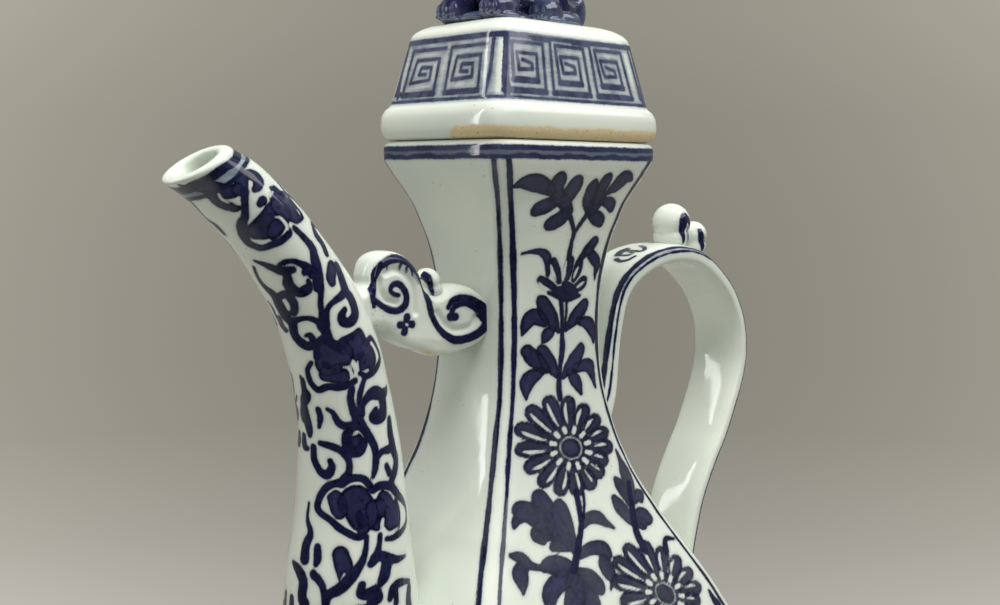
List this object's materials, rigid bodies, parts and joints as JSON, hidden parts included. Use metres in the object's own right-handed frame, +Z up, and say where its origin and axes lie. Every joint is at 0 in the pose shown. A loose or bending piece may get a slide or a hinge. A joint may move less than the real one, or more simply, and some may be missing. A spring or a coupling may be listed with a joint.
{
  "type": "lidded ewer",
  "caption": "Tall lidded porcelain ewer of oblong section with a curved spout on a scrolled strut, a strap handle and a lift-off lid with an animal knob.",
  "frame": {"origin": "Centre of the part's whole box, on the plane that the foot ring stands on. The body's upright axis stands 7 mm from it toward +X.", "axes": "+Z is up. The spout points to -X and the handle to +X. The wide painted faces look to -Y and +Y, and the narrow plain faces to -X and +X."},
  "size_m": [0.2623, 0.1156, 0.3749],
  "materials": {
    "porcelain_glaze": "glossy bluish-white glaze over cobalt painting",
    "cobalt_glaze": "glossy deep cobalt under clear glaze",
    "biscuit": "bare fired clay"
  },
  "bodies": {
    "vessel": {"belly": "porcelain_glaze", "neck": "porcelain_glaze", "foot_ring": "porcelain_glaze", "spout_half_left": "porcelain_glaze", "spout_half_right": "porcelain_glaze", "spout_strut": "porcelain_glaze", "strut_bud": "porcelain_glaze", "handle": "porcelain_glaze", "tie_scroll_large": "porcelain_glaze", "tie_scroll_small": "porcelain_glaze"},
    "lid": {"lid_canopy": "porcelain_glaze", "lid_collar": "biscuit", "lion_body": "cobalt_glaze", "lion_head": "cobalt_glaze", "lion_jaw": "cobalt_glaze", "lion_foreleg_left": "cobalt_glaze", "lion_foreleg_right": "cobalt_glaze", "lion_hindleg_left": "cobalt_glaze", "lion_hindleg_right": "cobalt_glaze", "lion_ear_left": "cobalt_glaze", "lion_ear_right": "cobalt_glaze", "lion_mane": "cobalt_glaze", "lion_tail": "cobalt_glaze"}
  },
  "joints": [
    {"name": "lid_lift", "type": "slide", "parent": "vessel", "child": "lid", "axis": [0, 0, 1], "range_m": [0, 0.05]}
  ]
}
